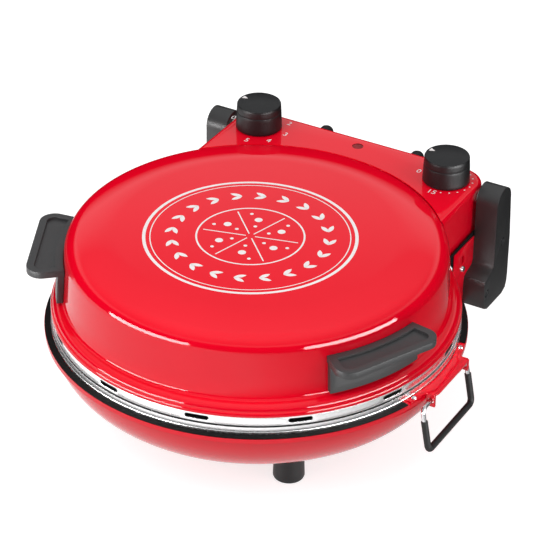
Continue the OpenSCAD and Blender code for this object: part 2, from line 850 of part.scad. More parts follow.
module grip() {
  r_top = wall_r(grip_top_z) + slip;
  r_low = wall_r(plate_low_z) + slip;
  difference() {
    union() {
      // Flange
      translate([0, 0, grip_top_z - grip_t]) linear_extrude(grip_t) grip_outline();
      // Mounting plate that follows the lid's wall
      rotate(-grip_half)
        rotate_extrude(angle = 2 * grip_half, $fn = 180)
          polygon([
            [r_low, plate_low_z], [r_low + plate_t, plate_low_z],
            [r_top + plate_t, grip_top_z - 1], [r_top + 0.08, grip_top_z - 1]
          ]);
    }
    // Thumb recess
    translate([0, 0, grip_top_z - grip_recess]) linear_extrude(grip_recess + 1) grip_outline(grip_edge);
    for (d = [-screw_step, screw_step])
      rotate(d) translate([plate_in_r - 2, 0, brim_z + 30]) rotate([0, 90, 0]) cylinder(d = 3.6, h = 5.6, $fn = 32);
  }
}

module grip_right() {
  color(graphite) rotate(grip_angle - 90) grip();
}

module grip_left() {
  color(graphite) rotate(-grip_angle - 90) grip();
}

module grip_screws() {
  color(steel)
    grip_places() {
      translate([0, 0, -3.9]) cylinder(d = 7, h = 2, $fn = 32);
      translate([0, 0, -3]) cylinder(d = 3.4, h = 7.4, $fn = 32);
    }
}

// ---- Control housing ----

// Rounded block with a domed top edge, inset all round by t
module housing_block(t) {
  corner = box_corner - t;
  edge = box_round - t / 2;
  hull()
    for (s = [-1, 1]) {
      translate([s * (box_w - t - corner), box_y - t - corner, 0]) {
        translate([0, 0, box_top_z - t - edge])
          rotate_extrude($fn = 48) translate([corner - edge, 0]) circle(r = edge, $fn = 32);
        translate([0, 0, box_low_z]) cylinder(r = corner, h = 1, $fn = 48);
      }
      translate([s * (box_w - t - edge), box_front_y, 0]) {
        translate([0, 0, box_top_z - t - edge]) sphere(r = edge, $fn = 32);
        translate([0, 0, box_low_z]) cylinder(r = edge, h = 1, $fn = 32);
      }
    }
}

module control_housing() {
  color(paint)
    difference() {
      union() {
        difference() {
          housing_block(0);
          difference() {
            translate([0, 0, -eps]) housing_block(box_t);
            translate([0, 0, box_low_z - 1]) cylinder(r = box_front_r + box_t, h = 100, $fn = 180);
          }
        }
        // Bosses for the hinge pins
        both_sides()
          translate([box_w - boss_l, hinge_y, hinge_z]) rotate([0, 90, 0]) cylinder(r = boss_r, h = boss_l - 1);
        // Stop lugs that travel in the arms' grooves
        both_sides()
          translate([box_w - 1, hinge_y, hinge_z]) rotate([0, 90, 0])
            translate([stop_r, 0, 0]) cylinder(d = stop_d, h = 1 + arm_x - box_w + stop_depth, $fn = 32);
      }
      translate([0, 0, box_low_z - 1]) cylinder(r = box_front_r, h = 100, $fn = 180);
      lid_volume(slip);
      both_sides() {
        translate([box_w - boss_l - 1, hinge_y, hinge_z]) rotate([0, 90, 0])
          cylinder(r = pin_d / 2 + run, h = boss_l + 3);
        translate([knob_x, knob_y, box_top_z - 10]) cylinder(d = shaft_hole_d, h = 20);
      }
      translate([0, lamp_y, box_top_z - 10]) cylinder(d = lens_d - 2, h = 20);
      // Pegs of the bumpers and the cord's hole in the back
      both_sides() translate([bumper_x, box_y - 10, bumper_z]) rotate([-90, 0, 0]) cylinder(d = 5, h = 20);
      translate([gland_x, box_y - 10, gland_z]) rotate([-90, 0, 0]) cylinder(d = gland_d, h = 20);
    }
}

module housing_cover() {
  color(graphite)
    difference() {
      translate([0, 0, box_low_z])
        linear_extrude(cover_t)
          difference() {
            hull() {
              for (s = [-1, 1]) {
                translate([s * (box_w - box_t - slip - box_corner + box_t), box_y - box_t - slip - box_corner + box_t])
                  circle(r = box_corner - box_t, $fn = 48);
                translate([s * (box_w - box_t - slip - 1), 100]) circle(r = 1, $fn = 16);
              }
            }
            circle(r = wall_low_r + 2 * slip, $fn = 180);
          }
      // Vents under the controls
      for (x = [-60:12:60])
        translate([x - 2, box_y - 24, box_low_z - 1]) cube([4, 14, 5]);
      both_sides() translate([cover_screw[0], cover_screw[1], box_low_z - 1]) cylinder(d = 3.4, h = 5, $fn = 32);
    }
}

module cover_screws() {
  color(steel)
    both_sides() translate([cover_screw[0], cover_screw[1], box_low_z]) {
      translate([0, 0, -2]) cylinder(d = 6, h = 2, $fn = 32);
      translate([0, 0, -eps]) cylinder(d = 3, h = 9, $fn = 32);
    }
}

module hinge_washers() {
  color("white")
    both_sides()
      translate([box_w + slip, hinge_y, hinge_z]) rotate([0, 90, 0])
        difference() {
          cylinder(r = 6.5, h = arm_x - box_w - 2 * slip);
          translate([0, 0, -1]) cylinder(r = pin_d / 2 + run, h = 10);
        }
}

// Body of a rotary control under the housing's top
module control_body(d, h) {
  difference() {
    union() {
      translate([0, 0, box_top_z - box_t - h - 3]) cylinder(d = d, h = h);
      translate([0, 0, box_top_z - box_t - 3 - eps]) cylinder(d = 14, h = 3 - run);
      translate([-5, -d / 2 - 4, box_top_z - box_t - 4]) cube([10, d + 8, 1]);
      for (s = [-1, 1])
        translate([0, s * (d / 2 + 1), box_top_z - box_t - 3.5]) cylinder(d = 5, h = 3.5 - run - eps, $fn = 32);
    }
    translate([0, 0, box_top_z - box_t - h]) cylinder(d = shaft_d + 2 * run, h = h + 10);
  }
}

module thermostat() {
  color(steel) translate([-knob_x, knob_y, 0]) control_body(thermostat_d, thermostat_l);
}

module timer() {
  color(steel) translate([knob_x, knob_y, 0]) control_body(timer_d, timer_l);
}

// Shaft with a flat, seated in a control body of height h
module control_shaft(h) {
  difference() {
    translate([0, 0, box_top_z - box_t - h + slip]) cylinder(d = shaft_d, h = knob_z + seat_h + 3 - (box_top_z - box_t - h) - slip);
    translate([shaft_d / 2 - 1.5, -10, knob_z + 3]) cube([10, 20, 20]);
  }
}

module thermostat_shaft() {
  color(steel) translate([-knob_x, knob_y, 0]) control_shaft(thermostat_l);
}

module timer_shaft() {
  color(steel) translate([knob_x, knob_y, 0]) control_shaft(timer_l);
}

module knob() {
  cap_z = knob_h - knob_cap_h;
  r = knob_d / 2;
  difference() {
    union() {
      difference() {
        translate([0, 0, knob_z])
          rotate_extrude()
            polygon([
              [0, 0], [r, 0], [r - 0.6, cap_z - 0.3], [r - 1, cap_z], [r - 0.7, cap_z + 0.4],
              [knob_top_r, knob_h - 1.2], [knob_top_r - 0.4, knob_h - 0.4], [knob_top_r - 1.2, knob_h], [0, knob_h]
            ]);
        translate([0, 0, knob_z - eps]) cylinder(r = r - 2.4, h = cap_z);
      }
      translate([0, 0, knob_z + 3]) cylinder(r = 6, h = knob_h - 6);
    }
    difference() {
      translate([0, 0, knob_z - 1]) cylinder(d = shaft_d + 2 * run, h = seat_h + 4 + slip);
      translate([shaft_d / 2 - 1.5 + run, -10, knob_z + 3 + run]) cube([10, 20, 20]);
    }
  }
}

module thermostat_knob() {
  color(rubber) translate([-knob_x, knob_y, 0]) knob();
}

module timer_knob() {
  color(rubber) translate([knob_x, knob_y, 0]) knob();
}

module terminal_block() {
  color("ivory")
    difference() {
      translate([block_x, box_y - 8 - block_size[1], box_low_z + cover_t]) cube(block_size);
      for (i = [0:3])
        translate([block_x + 6 + i * 10.5, box_y - 8 - block_size[1] / 2, box_low_z + cover_t + 4])
          cylinder(d = 5, h = block_size[2], $fn = 32);
    }
}

module indicator_lens() {
  color("darkred")
    difference() {
      translate([0, lamp_y, 0])
        rotate_extrude($fn = 48)
          polygon([
            [0, box_top_z + 1.4], [2.5, box_top_z + 1.1], [4, box_top_z + 0.6], [lens_d / 2, box_top_z + 0.05],
            [lens_d / 2, box_top_z], [lens_d / 2 - 1.1, box_top_z], [lens_d / 2 - 1.1, box_top_z - 8],
            [0, box_top_z - 8]
          ]);
      translate([0, lamp_y, box_top_z - 9]) cylinder(d = 5, h = 7, $fn = 32);
    }
}

module indicator_lamp() {
  color("orange")
    translate([0, lamp_y, box_top_z - 16]) {
      cylinder(d = 4.6, h = 13, $fn = 32);
      translate([0, 0, -4]) cylinder(d = 7, h = 8, $fn = 32);
    }
}

module rear_bumpers() {
  color(rubber)
    both_sides()
      translate([bumper_x, box_y, bumper_z]) rotate([-90, 0, 0]) {
        rotate_extrude($fn = 48)
          polygon([
            [0, 0], [bumper_d / 2, 0], [bumper_d / 2, bumper_l - 4], [bumper_d / 2 - 1.2, bumper_l - 1.4],
            [bumper_d / 2 - 3.4, bumper_l], [0, bumper_l]
          ]);
        translate([0, 0, -box_t - 2]) cylinder(d = 4.8, h = box_t + 3, $fn = 32);
        translate([0, 0, -box_t - 3]) cylinder(d = 7, h = 3 - slip, $fn = 32);
      }
}

module cord_gland() {
  color(rubber)
    translate([gland_x, box_y, gland_z]) rotate([-90, 0, 0])
      difference() {
        union() {
          translate([0, 0, -box_t - 2]) cylinder(d = gland_d + 3, h = 2 - slip, $fn = 48);
          translate([0, 0, -box_t - 1]) cylinder(d = gland_d - slip, h = box_t + 2, $fn = 48);
          cylinder(d1 = gland_d + 3, d2 = gland_d, h = 3, $fn = 48);
        }
        translate([0, 0, -10]) cylinder(d = 7, h = 30, $fn = 48);
      }
}

base_bowl();
base_ring();
inner_pan();
pizza_stone();
lower_element();
lower_element_clips();
lower_terminals();
lip_seal();
rubber_feet();
foot_screws();
hinge_bracket_left();
hinge_bracket_right();
hinge_arm_left();
hinge_arm_right();
arm_screws();
hinge_pins();
bail_bracket();
bail_rivets();
bail_wire();
bail_sleeve();
lid_shell();
lid_ring();
lid_liner();
upper_element();
upper_element_clips();
upper_terminals();
grip_left();
grip_right();
grip_screws();
control_housing();
housing_cover();
cover_screws();
hinge_washers();
thermostat();
timer();
terminal_block();
indicator_lens();
indicator_lamp();
rear_bumpers();
cord_gland();
thermostat_knob();
thermostat_shaft();
timer_knob();
timer_shaft();
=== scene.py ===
import bpy, bmesh, json, math
from mathutils import Matrix, Vector


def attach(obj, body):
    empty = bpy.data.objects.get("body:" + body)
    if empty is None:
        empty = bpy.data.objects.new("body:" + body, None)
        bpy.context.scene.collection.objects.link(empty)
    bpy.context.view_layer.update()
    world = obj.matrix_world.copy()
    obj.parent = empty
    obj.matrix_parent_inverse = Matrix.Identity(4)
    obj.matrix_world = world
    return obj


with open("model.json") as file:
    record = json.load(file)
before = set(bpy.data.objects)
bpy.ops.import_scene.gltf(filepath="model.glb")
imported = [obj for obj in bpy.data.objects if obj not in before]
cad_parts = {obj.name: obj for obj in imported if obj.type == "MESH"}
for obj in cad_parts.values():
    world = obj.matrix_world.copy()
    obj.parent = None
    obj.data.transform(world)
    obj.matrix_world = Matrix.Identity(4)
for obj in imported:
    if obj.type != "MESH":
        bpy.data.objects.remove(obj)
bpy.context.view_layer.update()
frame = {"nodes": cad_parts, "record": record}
scene = bpy.context.scene

# Sizes and places are in mm, down to the studio, where they are in metres
MM = 0.001

# Places on the carried-over solids
BRIM_Z = 109.0
LID_TOP = BRIM_Z + 69.0
BOX_LOW = BRIM_Z + 18.0
BOX_TOP = BRIM_Z + 62.5
KNOB_GAP, KNOB_H = 1.0, 23.5
KNOB_TOP = BOX_TOP + KNOB_GAP + KNOB_H
KNOB_X, KNOB_Y = 94.0, 167.0
HINGE_Y, HINGE_Z = 176.5, 159.0

# The camera, as fitted to the photo: degrees, radians, mm, and pixels of the square picture
CAMERA_AZIMUTH = 29.2
CAMERA_ELEVATION = 0.5590999
CAMERA_ROLL = 0.0132085
CAMERA_DISTANCE = 2200.0
CAMERA_RIGHT, CAMERA_UP = 11.13, 25.03
FOCAL_PIXELS = 2581.92
PICTURE_PIXELS = 540
SENSOR = 36.0
CLIP_START, CLIP_END = 50, 30000

# Finish of the carried-over solids: weld distance in mm, then angles in degrees
WELD = 0.004
BEVEL_ANGLE = 38
SMOOTH_ANGLE = 32

# Bevel of a node's edges: width in mm, steps
BEVELS = {
    "hinge_arm_left": (1.4, 3),
    "hinge_arm_right": (1.4, 3),
    "grip_left": (1.6, 3),
    "grip_right": (1.6, 3),
    "hinge_bracket_left": (0.3, 2),
    "hinge_bracket_right": (0.3, 2),
    "bail_bracket": (0.3, 2),
    "lid_ring": (0.15, 2),
    "thermostat_knob": (0.15, 2),
    "timer_knob": (0.15, 2),
}

# Nodes whose material differs from their slot's. The grips get the grey plastic painted lighter, as painted
# light for the light they catch
LOOKS = {"lip_seal": "seal", "grip_left": "grey_plastic_painted_lighter", "grip_right": "grey_plastic_painted_lighter"}

# Tone, least and most roughness, grain per metre, strength of the bump, stretch along x, y and z
STEELS = {
    "polished_steel": ((0.90, 0.90, 0.905), (0.20, 0.32), 160, 0.03, (1, 1, 14)),
    "pan_steel": ((0.50, 0.50, 0.51), (0.42, 0.55), 300, 0.05, (1, 1, 1)),
    "heater_steel": ((0.16, 0.155, 0.15), (0.42, 0.6), 500, 0.2, (1, 1, 1)),
    "screw_steel": ((0.72, 0.72, 0.74), (0.16, 0.28), 300, 0.05, (1, 1, 1)),
}

# Tone, roughness, grain per metre, strength of the bump, specular level
PLASTICS = {
    "ceramic": ((0.86, 0.85, 0.81), 0.5, 600, 0.05, 0.5),
    "black_rubber": ((0.012, 0.012, 0.013), 0.5, 900, 0.12, 0.3),
    "grey_plastic": ((0.022, 0.0225, 0.0235), 0.38, 1400, 0.35, 0.6),
    "black_plastic": ((0.009, 0.0095, 0.011), 0.42, 1400, 0.12, 0.4),
    "white_plastic": ((0.84, 0.84, 0.81), 0.3, 500, 0.03, 0.5),
    # The grips' plastic: the arms' grey painted lighter, as painted light on the grips
    "grey_plastic_painted_lighter": ((0.042, 0.043, 0.045), 0.42, 1400, 0.35, 0.5),
    # Near black for the lip seal, and also painted shade on the brackets' strips
    "seal": ((0.004, 0.003, 0.003), 0.6, 900, 0.05, 0.12),
    "lamp_glass": ((0.9, 0.45, 0.2), 0.1, 300, 0.02, 0.5),
}

# Printed marks: height of the film and of the numerals over what carries them, and the distance
# at which the film's corners are joined
FILM = 0.06
FILM_WELD = 0.0001
NUMERAL_RISE = 0.05
NUMERAL_DEPTH = 0.02
NUMERAL_SIZE = 8.6

# The lid's print: inner and outer radius of each ring, a pair of leaves at each place, and slices
# with a bar between each two. A topping has its distance, its angle in the slice and its radius.
PRINT_CENTRE = (0, -11.5)
OUTER_RINGS = ((87.6, 90.4), (83.4, 84.3))
INNER_RING = (44.5, 46)
RING_STEPS = 120
LEAF_PLACES, LEAF_R = 20, 66
LEAF_L, LEAF_W, LEAF_STEPS = 11, 4.2, 8
LEAF_TURNS = (62, 118)
LEAF_POWER = 0.8
SLICES, SLICE_TURN = 6, 15
BAR_START, BAR_END, BAR_W = 4, 41, 1.1
TOPPINGS = ((27, 45, 3.4), (16, 45, 1.6), (36, 58, 1.6))

# The dials: numeral, its angle in degrees, its distance from the knob's axis. A dot stands for
# each minute between the 15 and the 0.
HEAT_MARKS = (("0", 175, 28), ("1", 82, 28), ("2", 40, 28), ("3", -2, 28), ("4", -42, 28), ("5", -83, 28))
TIME_MARKS = (("0", 178, 27), ("15", -93, 25.5))
MINUTES = 15
MINUTE_STEP = 18
MINUTE_R = 23.6
MINUTE_DOT, MINUTE_SIDES = 0.75, 12
POINTER_ANGLE = 175
POINTER_TIP, POINTER_END, POINTER_SPREAD = 12.2, 17.6, 8.5

# The strip on each bracket is painted shade, a near-black sheet in the gap under the lid; it follows the
# brim's way round the hinge, at angles below straight ahead. The skirt hangs from the lid. Outlines are (y,
# z).
STRIP_X, STRIP_T = 124.3, 0.7
STRIP_R = 70
STRIP_ANGLES = range(46, 22, -4)
STRIP_FRONT, STRIP_BACK = 126, 168
STRIP_LOW, STRIP_HIGH = BRIM_Z + 15.5, BOX_LOW + 4
SKIRT_X, SKIRT_T = 121.5, 0.8
SKIRT_TOP = BOX_LOW + 0.6
SKIRT = [(107.3, 119.5), (113.5, 115.5), (122, 117), (150, BOX_LOW), (150, SKIRT_TOP), (107.3, SKIRT_TOP)]

# The studio, in metres. CEILING has the brightness that reflections see at each elevation.
CEILING = [(18, 0.0), (24, 1.0), (29, 0.8), (33, 0.42), (45, 0.6), (70, 1.0)]
WORLD = 0.62
FLOOR = 0.55
FLOOR_R = 3.5
FLOOR_STEPS = 48

# The floor's glow fades in reflections between two distances from its middle, at -GLOW_SHIFT
GLOW = 0.75
GLOW_SHIFT = (0.3, 0.35, 0)
GLOW_NEAR, GLOW_FAR = 0.5, 0.9
FAR_FLOOR = 0.02

# Each light: name, azimuth, elevation, distance from AIM, size, radiance, and whether it shows
# in reflections alone
AIM = (0, 0, 0.15)
LIGHTS = [
    ("key", -105, 45, 1.9, (1.3, 1.3), 3.4, False),
    ("fill", 5, 35, 1.9, (1.0, 1.0), 2.0, False),
    ("streak_left", -118, -3.5, 0.85, (0.75, 0.2), 20.0, True),
    ("streak_right", -10, 0, 0.85, (0.85, 0.22), 20.0, True),
]


# ---------------------------------------------------------------- camera

def make_camera():
    """The photo's viewpoint. It looks at a point beside and above the brim's centre."""
    az, el = math.radians(CAMERA_AZIMUTH), CAMERA_ELEVATION
    right = Vector((math.cos(az), math.sin(az), 0))
    back = Vector((math.cos(el) * math.sin(az), -math.cos(el) * math.cos(az), math.sin(el)))
    up = back.cross(right)
    eye = Vector((0, 0, BRIM_Z)) + right * CAMERA_RIGHT + up * CAMERA_UP + back * CAMERA_DISTANCE
    c, s = math.cos(CAMERA_ROLL), math.sin(CAMERA_ROLL)
    pose = Matrix((right * c + up * s, up * c - right * s, back)).transposed().to_4x4()
    pose.translation = eye * MM
    data = bpy.data.cameras.new("camera")
    data.sensor_width = SENSOR
    data.lens = FOCAL_PIXELS / PICTURE_PIXELS * SENSOR
    data.clip_start = CLIP_START * MM
    data.clip_end = CLIP_END * MM
    camera = bpy.data.objects.new("camera", data)
    camera.matrix_world = pose
    scene.collection.objects.link(camera)
    scene.camera = camera


# ---------------------------------------------------------------- materials

def fill_ramp(ramp, stops):
    """Gives a colour ramp its stops: place from 0 to 1, tone."""
    elements = ramp.color_ramp.elements
    while len(elements) < len(stops):
        elements.new(0.5)
    for element, (place, tone) in zip(elements, stops):
        element.position = place
        element.color = (*tone, 1)


def math_node(tree, operation, *values):
    """The result of an operation on numbers and sockets."""
    n = tree.nodes.new("ShaderNodeMath")
    n.operation = operation
    for socket, value in zip(n.inputs, values):
        if isinstance(value, (int, float)):
            socket.default_value = value
        else:
            tree.links.new(value, socket)
    return n.outputs[0]


class Graph:
    """Shorthand for a material's node tree."""

    def __init__(self, name):
        self.mat = bpy.data.materials.new(name)
        self.mat.use_nodes = True
        self.tree = self.mat.node_tree
        self.bsdf = self.tree.nodes["Principled BSDF"]

    def node(self, kind):
        return self.tree.nodes.new(kind)

    def link(self, a, b):
        self.tree.links.new(a, b)

    def coords(self, stretch=(1, 1, 1)):
        """Places on the piece in metres, times the stretch."""
        place = self.node("ShaderNodeTexCoord")
        mapping = self.node("ShaderNodeMapping")
        mapping.inputs["Scale"].default_value = stretch
        self.link(place.outputs["Object"], mapping.inputs["Vector"])
        return mapping.outputs["Vector"]

    def noise(self, vector, scale, detail=3, rough=0.5):
        n = self.node("ShaderNodeTexNoise")
        n.inputs["Scale"].default_value = scale
        n.inputs["Detail"].default_value = detail
        n.inputs["Roughness"].default_value = rough
        self.link(vector, n.inputs["Vector"])
        return n.outputs["Fac"]

    def colour(self, fac, *stops):
        """Colours the surface by a ramp over fac."""
        ramp = self.node("ShaderNodeValToRGB")
        fill_ramp(ramp, stops)
        self.link(fac, ramp.inputs["Fac"])
        self.link(ramp.outputs["Color"], self.bsdf.inputs["Base Color"])

    def clouds(self, vector, scale, tone, shade):
        """Colours the surface in a tone, with clouds that are darker by the factor shade."""
        self.colour(self.noise(vector, scale), (0.3, tuple(t * shade for t in tone)), (0.7, tone))

    def roughness(self, fac, low, high):
        span = self.node("ShaderNodeMapRange")
        span.inputs["To Min"].default_value = low
        span.inputs["To Max"].default_value = high
        self.link(fac, span.inputs["Value"])
        self.link(span.outputs["Result"], self.bsdf.inputs["Roughness"])

    def bump(self, height, strength, distance=0.0003):
        b = self.node("ShaderNodeBump")
        b.inputs["Strength"].default_value = strength
        b.inputs["Distance"].default_value = distance
        self.link(height, b.inputs["Height"])
        self.link(b.outputs["Normal"], self.bsdf.inputs["Normal"])

    def set(self, **values):
        for name, value in values.items():
            self.bsdf.inputs[name.replace("_", " ")].default_value = value


def red_paint():
    """Glossy paint that varies a little in colour and gloss, with a slight orange peel."""
    g = Graph("red_paint")
    v = g.coords()
    cloud = g.noise(v, scale=9, detail=2)
    g.colour(cloud, (0.3, (0.84, 0.0012, 0.0165)), (0.7, (0.88, 0.0016, 0.0190)))
    g.roughness(g.noise(v, scale=60), low=0.03, high=0.06)
    g.bump(g.noise(v, scale=420, detail=2), strength=0.008)
    g.set(Specular_IOR_Level=0.34)
    return g.mat


def steel(name, tone, rough, grain, strength, stretch):
    """Metal with one grain in its roughness and its bump."""
    g = Graph(name)
    v = g.coords(stretch)
    fine = g.noise(v, grain)
    g.clouds(v, scale=14, tone=tone, shade=0.93)
    g.roughness(fine, *rough)
    g.bump(fine, strength, distance=0.0002)
    g.set(Metallic=1.0)
    return g.mat


def plastic(name, tone, rough, grain, strength, specular):
    """Moulded plastic, rubber, glass or fired clay, with one grain in its roughness and its bump."""
    g = Graph(name)
    v = g.coords()
    fine = g.noise(v, grain, rough=0.6)
    g.clouds(v, scale=25, tone=tone, shade=0.9)
    g.roughness(fine, low=rough - 0.05, high=rough + 0.07)
    g.bump(fine, strength)
    g.set(Specular_IOR_Level=specular)
    return g.mat


def stone():
    """Fired clay in three tones, rough and pitted."""
    g = Graph("stone")
    v = g.coords()
    cloud = g.noise(v, scale=90, detail=6, rough=0.7)
    g.colour(cloud, (0.3, (0.42, 0.30, 0.19)), (0.5, (0.56, 0.43, 0.29)), (0.75, (0.66, 0.54, 0.39)))
    g.roughness(g.noise(v, scale=500), low=0.8, high=0.95)
    g.bump(g.noise(v, scale=900, detail=4, rough=0.7), strength=0.3, distance=0.0004)
    return g.mat


def lens():
    """Dark red, smooth and glossy."""
    g = Graph("lens")
    v = g.coords()
    cloud = g.noise(v, scale=200, detail=2)
    g.colour(cloud, (0.3, (0.20, 0.001, 0.004)), (0.7, (0.28, 0.002, 0.006)))
    g.roughness(g.noise(v, scale=300, detail=2), low=0.03, high=0.06)
    g.set(Specular_IOR_Level=0.5)
    return g.mat


def ink():
    """Printed white with a hint of the red under it."""
    g = Graph("white_ink")
    v = g.coords()
    g.colour(g.noise(v, scale=300), (0.3, (0.86, 0.80, 0.80)), (0.7, (0.92, 0.88, 0.88)))
    g.roughness(g.noise(v, scale=200, detail=2), low=0.25, high=0.35)
    return g.mat


MATERIALS = {"red_paint": red_paint(), "stone": stone(), "lens": lens(), "white_ink": ink()}
MATERIALS.update({name: steel(name, *values) for name, values in STEELS.items()})
MATERIALS.update({name: plastic(name, *values) for name, values in PLASTICS.items()})


# ---------------------------------------------------------------- carried-over solids

def smooth_group(angle):
    """Geometry nodes that shade smooth and keep edges over the angle sharp."""
    group = bpy.data.node_groups.new("smooth_by_angle", "GeometryNodeTree")
    for way in ("INPUT", "OUTPUT"):
        group.interface.new_socket("Geometry", in_out=way, socket_type="NodeSocketGeometry")
    start, end = group.nodes.new("NodeGroupInput"), group.nodes.new("NodeGroupOutput")
    faces = group.nodes.new("GeometryNodeSetShadeSmooth")
    faces.domain = "FACE"
    edges = group.nodes.new("GeometryNodeSetShadeSmooth")
    edges.domain = "EDGE"
    edges.inputs["Shade Smooth"].default_value = False
    fold = group.nodes.new("GeometryNodeInputMeshEdgeAngle")
    sharp = group.nodes.new("FunctionNodeCompare")
    sharp.operation = "GREATER_THAN"
    sharp.inputs[1].default_value = angle
    group.links.new(start.outputs[0], faces.inputs["Geometry"])
    group.links.new(faces.outputs[0], edges.inputs["Geometry"])
    group.links.new(fold.outputs["Unsigned Angle"], sharp.inputs[0])
    group.links.new(sharp.outputs[0], edges.inputs["Selection"])
    group.links.new(edges.outputs[0], end.inputs[0])
    return group


def dress_nodes():
    """Gives each node its material, soft edges and smooth shading."""
    group = smooth_group(math.radians(SMOOTH_ANGLE))
    slots = {part["node"]: part["material_slot"] for part in frame["record"]["subparts"]}
    for name, obj in frame["nodes"].items():
        obj.data.materials.clear()
        obj.data.materials.append(MATERIALS[LOOKS.get(name, slots[name])])
        weld = obj.modifiers.new("weld", "WELD")
        weld.merge_threshold = WELD * MM
        if name in BEVELS:
            width, steps = BEVELS[name]
            bevel = obj.modifiers.new("bevel", "BEVEL")
            bevel.width = width * MM
            bevel.segments = steps
            bevel.limit_method = "ANGLE"
            bevel.angle_limit = math.radians(BEVEL_ANGLE)
            bevel.use_clamp_overlap = True
        smooth = obj.modifiers.new("smooth", "NODES")
        smooth.node_group = group


# ---------------------------------------------------------------- the scene's own pieces

def add_mesh(name, bm, material):
    """Turns a bmesh into an object of the scene."""
    mesh = bpy.data.meshes.new(name)
    bm.to_mesh(mesh)
    bm.free()
    obj = bpy.data.objects.new(name, mesh)
    scene.collection.objects.link(obj)
    mesh.materials.append(material)
    return obj


def printed_film(name, outlines, z, body):
    """White ink in the plane z, from outlines (x, y), on a body."""
    bm = bmesh.new()
    for outline in outlines:
        face = bm.faces.new([bm.verts.new((x * MM, y * MM, (z + FILM) * MM)) for x, y in outline])
        face.normal_update()
        if face.normal.z < 0:
            face.normal_flip()
    bmesh.ops.remove_doubles(bm, verts=bm.verts, dist=FILM_WELD * MM)
    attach(add_mesh(name, bm, MATERIALS["white_ink"]), body)


def side_plates(name, outline, x, thick, body, material):
    """A flat plate on each side, from its outline (y, z), with its inner face at x."""
    bm = bmesh.new()
    for side in (-1, 1):
        inner, outer = [
            [bm.verts.new((side * place * MM, y * MM, z * MM)) for y, z in outline]
            for place in (x, x + thick)
        ]
        bm.faces.new(inner)
        bm.faces.new(outer[::-1])
        for i in range(len(outline)):
            j = (i + 1) % len(outline)
            bm.faces.new([inner[i], outer[i], outer[j], inner[j]])
    bmesh.ops.recalc_face_normals(bm, faces=bm.faces)
    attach(add_mesh(name, bm, material), body)


def polar(c, r, angle):
    """The point at a distance r and an angle in degrees from c."""
    a = math.radians(angle)
    return (c[0] + r * math.cos(a), c[1] + r * math.sin(a))


def ring(c, inner, outer):
    """A flat ring round c."""
    turns = [360 * i / RING_STEPS for i in range(RING_STEPS + 1)]
    return [
        [polar(c, inner, a), polar(c, outer, a), polar(c, outer, b), polar(c, inner, b)]
        for a, b in zip(turns, turns[1:])
    ]


def disc(c, r, sides=16):
    """A round dot at c."""
    return [[polar(c, r, 360 * i / sides) for i in range(sides)]]


def stroke(a, b, width):
    """A straight bar from a to b."""
    d = Vector((b[0] - a[0], b[1] - a[1])).normalized() * width / 2
    start = [(a[0] - d.y, a[1] + d.x), (a[0] + d.y, a[1] - d.x)]
    end = [(b[0] + d.y, b[1] - d.x), (b[0] - d.y, b[1] + d.x)]
    return [start + end]


def leaf(c, angle):
    """A pointed leaf from its stem end c."""
    cos, sin = math.cos(math.radians(angle)), math.sin(math.radians(angle))
    left, right = [], []
    for i in range(LEAF_STEPS + 1):
        t = i / LEAF_STEPS
        w = LEAF_W / 2 * math.sin(math.pi * t) ** LEAF_POWER if 0 < t < 1 else 0
        x = t * LEAF_L
        left.append((c[0] + x * cos - w * sin, c[1] + x * sin + w * cos))
        right.append((c[0] + x * cos + w * sin, c[1] + x * sin - w * cos))
    return [left[:-1] + right[:0:-1]]


def lid_print():
    """A generic pattern of rings, leaves and a cut pizza."""
    c = PRINT_CENTRE
    art = []
    for radii in OUTER_RINGS:
        art += ring(c, *radii)
    for i in range(LEAF_PLACES):
        a = i * 360 / LEAF_PLACES
        for turn in LEAF_TURNS:
            art += leaf(polar(c, LEAF_R, a), a + turn)
    art += ring(c, *INNER_RING)
    for i in range(SLICES):
        a = i * 360 / SLICES
        art += stroke(polar(c, BAR_START, a + SLICE_TURN), polar(c, BAR_END, a + SLICE_TURN), BAR_W)
        for r, turn, size in TOPPINGS:
            art += disc(polar(c, r, a + turn), size)
    printed_film("lid_print", art, LID_TOP, "lid")


def numeral(name, text, place):
    """A number on the housing's top, centred on a place (x, y)."""
    data = bpy.data.curves.new(name, "FONT")
    data.body = text
    data.size = NUMERAL_SIZE * MM
    data.align_x = "CENTER"
    data.align_y = "CENTER"
    data.extrude = NUMERAL_DEPTH * MM
    words = bpy.data.objects.new(name + "_t", data)
    scene.collection.objects.link(words)
    bpy.context.view_layer.update()
    mesh = bpy.data.meshes.new_from_object(words.evaluated_get(bpy.context.evaluated_depsgraph_get()))
    bpy.data.objects.remove(words)
    mesh.transform(Matrix.Translation((place[0] * MM, place[1] * MM, (BOX_TOP + NUMERAL_RISE) * MM)))
    mesh.materials.clear()
    mesh.materials.append(MATERIALS["white_ink"])
    obj = bpy.data.objects.new(name, mesh)
    scene.collection.objects.link(obj)
    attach(obj, "lid")


def dial_marks():
    """The numerals and dots round the knobs, and the knobs' pointers."""
    left, right = (-KNOB_X, KNOB_Y), (KNOB_X, KNOB_Y)
    for kind, centre, marks in (("heat", left, HEAT_MARKS), ("time", right, TIME_MARKS)):
        for text, angle, r in marks:
            numeral(f"mark_{kind}_{text}", text, polar(centre, r, angle))
    dots = []
    last_angle = TIME_MARKS[-1][1]
    for i in range(1, MINUTES):
        dots += disc(polar(right, MINUTE_R, last_angle + MINUTE_STEP * i), MINUTE_DOT, MINUTE_SIDES)
    printed_film("mark_minutes", dots, BOX_TOP, "lid")
    for name, c, body in (("pointer_heat", left, "thermostat_dial"), ("pointer_time", right, "timer_dial")):
        ends = [polar(c, POINTER_END, POINTER_ANGLE + s * POINTER_SPREAD) for s in (1, -1)]
        printed_film(name, [[polar(c, POINTER_TIP, POINTER_ANGLE)] + ends], KNOB_TOP, body)


